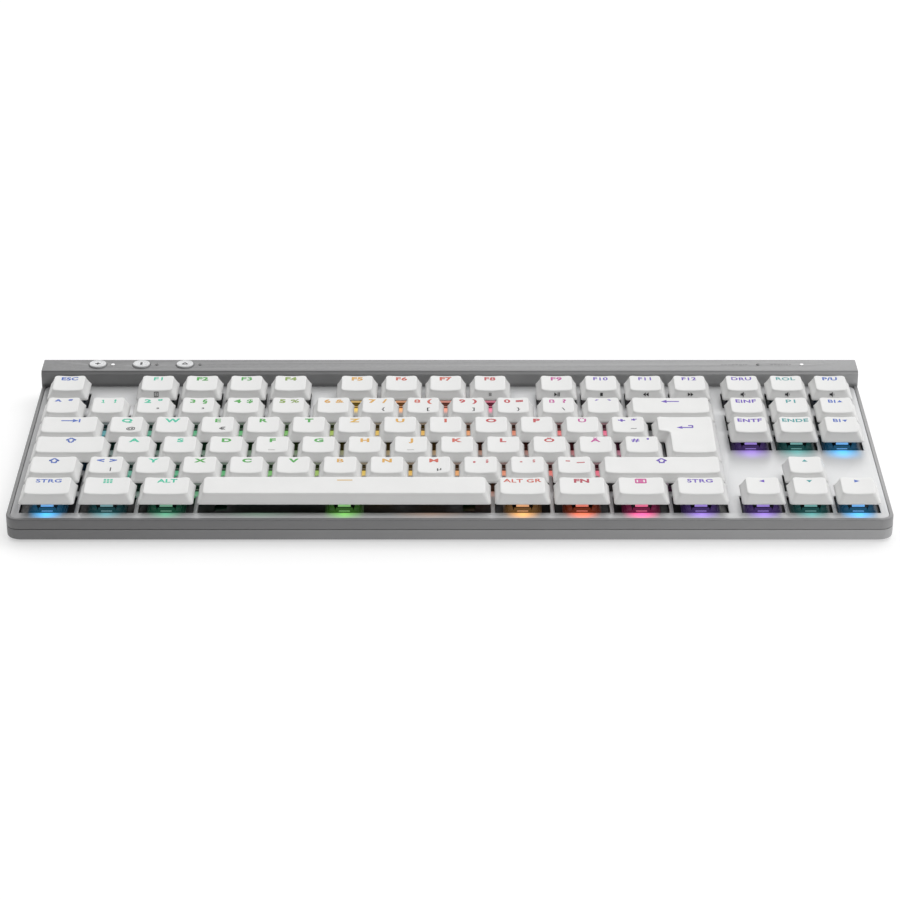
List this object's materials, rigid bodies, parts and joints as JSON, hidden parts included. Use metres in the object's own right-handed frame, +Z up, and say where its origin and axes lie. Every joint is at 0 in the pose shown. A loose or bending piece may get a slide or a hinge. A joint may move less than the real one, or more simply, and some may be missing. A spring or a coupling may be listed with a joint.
{
  "type": "mechanical keyboard",
  "caption": "Compact tenkeyless mechanical keyboard with white caps on a raised plate, a grey case with a rear control bar, backlit switches and fold-out feet.",
  "frame": {"origin": "centre of the footprint at the bottom faces of the rubber pads", "axes": "+X to the typist's right, +Y from the typist towards the rear bar, +Z up"},
  "size_m": [0.355, 0.1412, 0.0189],
  "materials": {
    "keycap": "matte off-white moulded plastic",
    "case_upper": "fine satin grey paint",
    "case_lower": "finely textured grey plastic",
    "deck": "satin silver paint",
    "black_plastic": "black moulded plastic",
    "circuit_board": "green solder mask",
    "foam": "dark foam sheet",
    "pad_rubber": "soft black rubber",
    "wire": "drawn steel wire",
    "socket": "stamped steel shell",
    "button": "silver-white satin plastic",
    "light_guide": "clear moulded light guide",
    "cell": "shrink-wrapped cell"
  },
  "bodies": {
    "base": {"bottom_case": "case_lower", "upper_frame": "case_upper", "rear_bar": "case_upper", "deck_plate": "deck", "rear_panel": "case_upper", "io_panel": "case_lower", "usb_c_receptacle": "socket", "switch_bank": "black_plastic", "main_pcb": "circuit_board", "damping_pad": "foam", "battery": "cell", "light_guide_left": "light_guide", "light_guide_right": "light_guide", "pad_front_left": "pad_rubber", "pad_front_right": "pad_rubber", "pad_rear_left": "pad_rubber", "pad_rear_right": "pad_rubber"},
    "key_escape": {"key_escape": "keycap"},
    "key_tab": {"key_tab": "keycap"},
    "key_caps_lock": {"key_caps_lock": "keycap"},
    "key_shift_left": {"key_shift_left": "keycap"},
    "key_ctrl_left": {"key_ctrl_left": "keycap"},
    "key_system": {"key_system": "keycap"},
    "key_alt_left": {"key_alt_left": "keycap"},
    "key_space": {"key_space": "keycap"},
    "key_alt_right": {"key_alt_right": "keycap"},
    "key_function": {"key_function": "keycap"},
    "key_menu": {"key_menu": "keycap"},
    "key_ctrl_right": {"key_ctrl_right": "keycap"},
    "key_backspace": {"key_backspace": "keycap"},
    "key_shift_right": {"key_shift_right": "keycap"},
    "key_arrow_up": {"key_arrow_up": "keycap"},
    "key_arrow_left": {"key_arrow_left": "keycap"},
    "key_arrow_down": {"key_arrow_down": "keycap"},
    "key_arrow_right": {"key_arrow_right": "keycap"},
    "key_insert": {"key_insert": "keycap"},
    "key_home": {"key_home": "keycap"},
    "key_page_up": {"key_page_up": "keycap"},
    "key_delete": {"key_delete": "keycap"},
    "key_end": {"key_end": "keycap"},
    "key_page_down": {"key_page_down": "keycap"},
    "key_enter": {"key_enter": "keycap"},
    "key_bank_f1_f4": {"key_bank_f1_f4": "keycap"},
    "key_bank_f5_f8": {"key_bank_f5_f8": "keycap"},
    "key_bank_f9_f12": {"key_bank_f9_f12": "keycap"},
    "key_bank_print_pause": {"key_bank_print_pause": "keycap"},
    "key_bank_numbers": {"key_bank_numbers": "keycap"},
    "key_bank_upper_letters": {"key_bank_upper_letters": "keycap"},
    "key_bank_home_letters": {"key_bank_home_letters": "keycap"},
    "key_bank_lower_letters": {"key_bank_lower_letters": "keycap"},
    "stabiliser_space": {"stabiliser_space": "wire"},
    "stabiliser_backspace": {"stabiliser_backspace": "wire"},
    "stabiliser_shift_right": {"stabiliser_shift_right": "wire"},
    "stabiliser_enter": {"stabiliser_enter": "wire"},
    "mode_button_1": {"mode_button_1": "button"},
    "mode_button_2": {"mode_button_2": "button"},
    "mode_button_3": {"mode_button_3": "button"},
    "power_slider": {"power_slider": "black_plastic"},
    "tilt_foot_left": {"tilt_foot_left": "case_lower"},
    "tilt_foot_right": {"tilt_foot_right": "case_lower"}
  },
  "joints": [
    {"name": "tilt_foot_left_hinge", "type": "hinge", "parent": "base", "child": "tilt_foot_left", "pos_m": [-0.14, 0.0646, 0.0026], "axis": [1, 0, 0], "range_deg": [0, 90]},
    {"name": "tilt_foot_right_hinge", "type": "hinge", "parent": "base", "child": "tilt_foot_right", "pos_m": [0.14, 0.0646, 0.0026], "axis": [1, 0, 0], "range_deg": [0, 90]},
    {"name": "power_slider_slide", "type": "slide", "parent": "base", "child": "power_slider", "axis": [1, 0, 0], "range_m": [0, 0.0022]},
    {"name": "mode_button_1_press", "type": "slide", "parent": "base", "child": "mode_button_1", "axis": [0, 0, -1], "range_m": [0, 0.0005], "stiffness_N_per_m": 1500, "springref_m": -0.0003},
    {"name": "mode_button_2_press", "type": "slide", "parent": "base", "child": "mode_button_2", "axis": [0, 0, -1], "range_m": [0, 0.0005], "stiffness_N_per_m": 1500, "springref_m": -0.0003},
    {"name": "mode_button_3_press", "type": "slide", "parent": "base", "child": "mode_button_3", "axis": [0, 0, -1], "range_m": [0, 0.0005], "stiffness_N_per_m": 1500, "springref_m": -0.0003},
    {"name": "key_space_press", "type": "slide", "parent": "base", "child": "key_space", "axis": [0, 0, -1], "range_m": [0, 0.0032], "stiffness_N_per_m": 120, "springref_m": -0.002},
    {"name": "key_enter_press", "type": "slide", "parent": "base", "child": "key_enter", "axis": [0, 0, -1], "range_m": [0, 0.0032], "stiffness_N_per_m": 120, "springref_m": -0.002},
    {"name": "key_backspace_press", "type": "slide", "parent": "base", "child": "key_backspace", "axis": [0, 0, -1], "range_m": [0, 0.0032], "stiffness_N_per_m": 120, "springref_m": -0.002},
    {"name": "key_shift_right_press", "type": "slide", "parent": "base", "child": "key_shift_right", "axis": [0, 0, -1], "range_m": [0, 0.0032], "stiffness_N_per_m": 120, "springref_m": -0.002},
    {"name": "key_escape_press", "type": "slide", "parent": "base", "child": "key_escape", "axis": [0, 0, -1], "range_m": [0, 0.0032], "stiffness_N_per_m": 120, "springref_m": -0.002},
    {"name": "key_bank_numbers_press", "type": "slide", "parent": "base", "child": "key_bank_numbers", "axis": [0, 0, -1], "range_m": [0, 0.0032], "stiffness_N_per_m": 1560, "springref_m": -0.002},
    {"name": "key_bank_upper_letters_press", "type": "slide", "parent": "base", "child": "key_bank_upper_letters", "axis": [0, 0, -1], "range_m": [0, 0.0032], "stiffness_N_per_m": 1440, "springref_m": -0.002},
    {"name": "key_bank_home_letters_press", "type": "slide", "parent": "base", "child": "key_bank_home_letters", "axis": [0, 0, -1], "range_m": [0, 0.0032], "stiffness_N_per_m": 1440, "springref_m": -0.002},
    {"name": "key_bank_lower_letters_press", "type": "slide", "parent": "base", "child": "key_bank_lower_letters", "axis": [0, 0, -1], "range_m": [0, 0.0032], "stiffness_N_per_m": 1320, "springref_m": -0.002},
    {"name": "key_bank_f1_f4_press", "type": "slide", "parent": "base", "child": "key_bank_f1_f4", "axis": [0, 0, -1], "range_m": [0, 0.0032], "stiffness_N_per_m": 480, "springref_m": -0.002},
    {"name": "key_bank_f5_f8_press", "type": "slide", "parent": "base", "child": "key_bank_f5_f8", "axis": [0, 0, -1], "range_m": [0, 0.0032], "stiffness_N_per_m": 480, "springref_m": -0.002},
    {"name": "key_bank_f9_f12_press", "type": "slide", "parent": "base", "child": "key_bank_f9_f12", "axis": [0, 0, -1], "range_m": [0, 0.0032], "stiffness_N_per_m": 480, "springref_m": -0.002},
    {"name": "key_bank_print_pause_press", "type": "slide", "parent": "base", "child": "key_bank_print_pause", "axis": [0, 0, -1], "range_m": [0, 0.0032], "stiffness_N_per_m": 360, "springref_m": -0.002},
    {"name": "key_tab_press", "type": "slide", "parent": "base", "child": "key_tab", "axis": [0, 0, -1], "range_m": [0, 0.0032], "stiffness_N_per_m": 120, "springref_m": -0.002},
    {"name": "key_caps_lock_press", "type": "slide", "parent": "base", "child": "key_caps_lock", "axis": [0, 0, -1], "range_m": [0, 0.0032], "stiffness_N_per_m": 120, "springref_m": -0.002},
    {"name": "key_shift_left_press", "type": "slide", "parent": "base", "child": "key_shift_left", "axis": [0, 0, -1], "range_m": [0, 0.0032], "stiffness_N_per_m": 120, "springref_m": -0.002},
    {"name": "key_ctrl_left_press", "type": "slide", "parent": "base", "child": "key_ctrl_left", "axis": [0, 0, -1], "range_m": [0, 0.0032], "stiffness_N_per_m": 120, "springref_m": -0.002},
    {"name": "key_arrow_up_press", "type": "slide", "parent": "base", "child": "key_arrow_up", "axis": [0, 0, -1], "range_m": [0, 0.0032], "stiffness_N_per_m": 120, "springref_m": -0.002},
    {"name": "key_arrow_down_press", "type": "slide", "parent": "base", "child": "key_arrow_down", "axis": [0, 0, -1], "range_m": [0, 0.0032], "stiffness_N_per_m": 120, "springref_m": -0.002},
    {"name": "key_arrow_left_press", "type": "slide", "parent": "base", "child": "key_arrow_left", "axis": [0, 0, -1], "range_m": [0, 0.0032], "stiffness_N_per_m": 120, "springref_m": -0.002},
    {"name": "key_arrow_right_press", "type": "slide", "parent": "base", "child": "key_arrow_right", "axis": [0, 0, -1], "range_m": [0, 0.0032], "stiffness_N_per_m": 120, "springref_m": -0.002},
    {"name": "key_insert_press", "type": "slide", "parent": "base", "child": "key_insert", "axis": [0, 0, -1], "range_m": [0, 0.0032], "stiffness_N_per_m": 120, "springref_m": -0.002},
    {"name": "key_system_press", "type": "slide", "parent": "base", "child": "key_system", "axis": [0, 0, -1], "range_m": [0, 0.0032], "stiffness_N_per_m": 120, "springref_m": -0.002},
    {"name": "key_alt_left_press", "type": "slide", "parent": "base", "child": "key_alt_left", "axis": [0, 0, -1], "range_m": [0, 0.0032], "stiffness_N_per_m": 120, "springref_m": -0.002},
    {"name": "key_alt_right_press", "type": "slide", "parent": "base", "child": "key_alt_right", "axis": [0, 0, -1], "range_m": [0, 0.0032], "stiffness_N_per_m": 120, "springref_m": -0.002},
    {"name": "key_function_press", "type": "slide", "parent": "base", "child": "key_function", "axis": [0, 0, -1], "range_m": [0, 0.0032], "stiffness_N_per_m": 120, "springref_m": -0.002},
    {"name": "key_menu_press", "type": "slide", "parent": "base", "child": "key_menu", "axis": [0, 0, -1], "range_m": [0, 0.0032], "stiffness_N_per_m": 120, "springref_m": -0.002},
    {"name": "key_ctrl_right_press", "type": "slide", "parent": "base", "child": "key_ctrl_right", "axis": [0, 0, -1], "range_m": [0, 0.0032], "stiffness_N_per_m": 120, "springref_m": -0.002},
    {"name": "key_home_press", "type": "slide", "parent": "base", "child": "key_home", "axis": [0, 0, -1], "range_m": [0, 0.0032], "stiffness_N_per_m": 120, "springref_m": -0.002},
    {"name": "key_page_up_press", "type": "slide", "parent": "base", "child": "key_page_up", "axis": [0, 0, -1], "range_m": [0, 0.0032], "stiffness_N_per_m": 120, "springref_m": -0.002},
    {"name": "key_delete_press", "type": "slide", "parent": "base", "child": "key_delete", "axis": [0, 0, -1], "range_m": [0, 0.0032], "stiffness_N_per_m": 120, "springref_m": -0.002},
    {"name": "key_end_press", "type": "slide", "parent": "base", "child": "key_end", "axis": [0, 0, -1], "range_m": [0, 0.0032], "stiffness_N_per_m": 120, "springref_m": -0.002},
    {"name": "key_page_down_press", "type": "slide", "parent": "base", "child": "key_page_down", "axis": [0, 0, -1], "range_m": [0, 0.0032], "stiffness_N_per_m": 120, "springref_m": -0.002},
    {"name": "stabiliser_space_pivot", "type": "hinge", "parent": "base", "child": "stabiliser_space", "pos_m": [-0.04223, -0.05, 0.0101], "axis": [1, 0, 0], "range_deg": [0, 26.5]},
    {"name": "stabiliser_backspace_pivot", "type": "hinge", "parent": "base", "child": "stabiliser_backspace", "pos_m": [0.0935, 0.0262, 0.0101], "axis": [1, 0, 0], "range_deg": [0, 26.5]},
    {"name": "stabiliser_shift_right_pivot", "type": "hinge", "parent": "base", "child": "stabiliser_shift_right", "pos_m": [0.08636, -0.03095, 0.0101], "axis": [1, 0, 0], "range_deg": [0, 26.5]},
    {"name": "stabiliser_enter_pivot", "type": "hinge", "parent": "base", "child": "stabiliser_enter", "pos_m": [0.10724, -0.00898, 0.0101], "axis": [0, -1, 0], "range_deg": [0, 26.5]}
  ],
  "couplings": [
    {"joint": "stabiliser_space_pivot", "follows": "key_space_press", "rad_per_m": 141},
    {"joint": "stabiliser_backspace_pivot", "follows": "key_backspace_press", "rad_per_m": 141},
    {"joint": "stabiliser_shift_right_pivot", "follows": "key_shift_right_press", "rad_per_m": 141},
    {"joint": "stabiliser_enter_pivot", "follows": "key_enter_press", "rad_per_m": 141}
  ]
}
